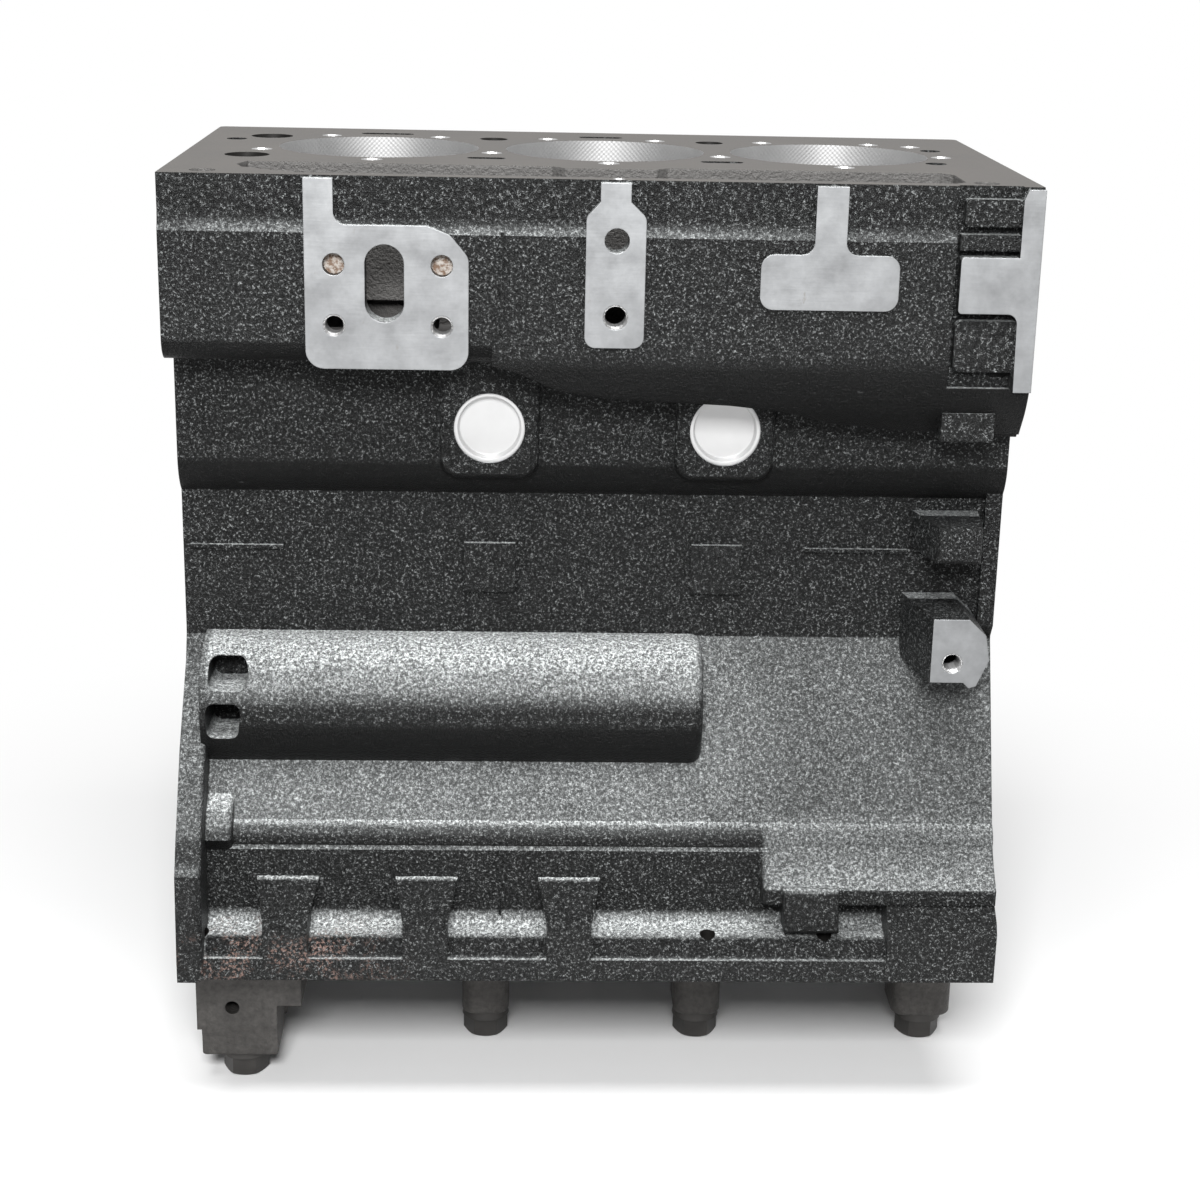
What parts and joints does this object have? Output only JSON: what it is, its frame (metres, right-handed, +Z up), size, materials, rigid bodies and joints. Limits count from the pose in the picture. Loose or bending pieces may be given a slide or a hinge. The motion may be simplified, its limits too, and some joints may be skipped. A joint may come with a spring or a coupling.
{
  "type": "engine cylinder block",
  "caption": "Bare in-line diesel cylinder block with bearing caps, core plugs, machined pads and an open pushrod chamber.",
  "frame": {"origin": "on the crankshaft axis, below the axis of the middle cylinder", "axes": "+X along the crankshaft axis towards the timing end, +Z up along the cylinder axes, -Y towards the tappet side"},
  "size_m": [0.3535, 0.249, 0.409],
  "materials": {
    "painted_casting": "satin",
    "bare_iron": "matte",
    "blackened_steel": "satin",
    "zinc_plated_steel": "satin",
    "bush_metal": "satin"
  },
  "bodies": {
    "root": {"cylinder_block": "painted_casting", "main_bearing_cap_1": "bare_iron", "main_bearing_cap_2": "bare_iron", "main_bearing_cap_3": "bare_iron", "main_bearing_cap_4": "bare_iron", "bearing_1_bolt_1": "blackened_steel", "bearing_1_bolt_2": "blackened_steel", "bearing_1_bolt_3": "blackened_steel", "bearing_1_bolt_4": "blackened_steel", "bearing_2_bolt_1": "blackened_steel", "bearing_2_bolt_2": "blackened_steel", "bearing_3_bolt_1": "blackened_steel", "bearing_3_bolt_2": "blackened_steel", "bearing_4_bolt_1": "blackened_steel", "bearing_4_bolt_2": "blackened_steel", "core_plug_front_1": "zinc_plated_steel", "core_plug_front_2": "zinc_plated_steel", "core_plug_rear_1": "zinc_plated_steel", "core_plug_rear_2": "zinc_plated_steel", "core_plug_rear_3": "zinc_plated_steel", "camshaft_plug": "zinc_plated_steel", "camshaft_bush": "bush_metal", "oil_gallery_plug_left": "blackened_steel", "oil_gallery_plug_right": "blackened_steel"}
  },
  "joints": []
}
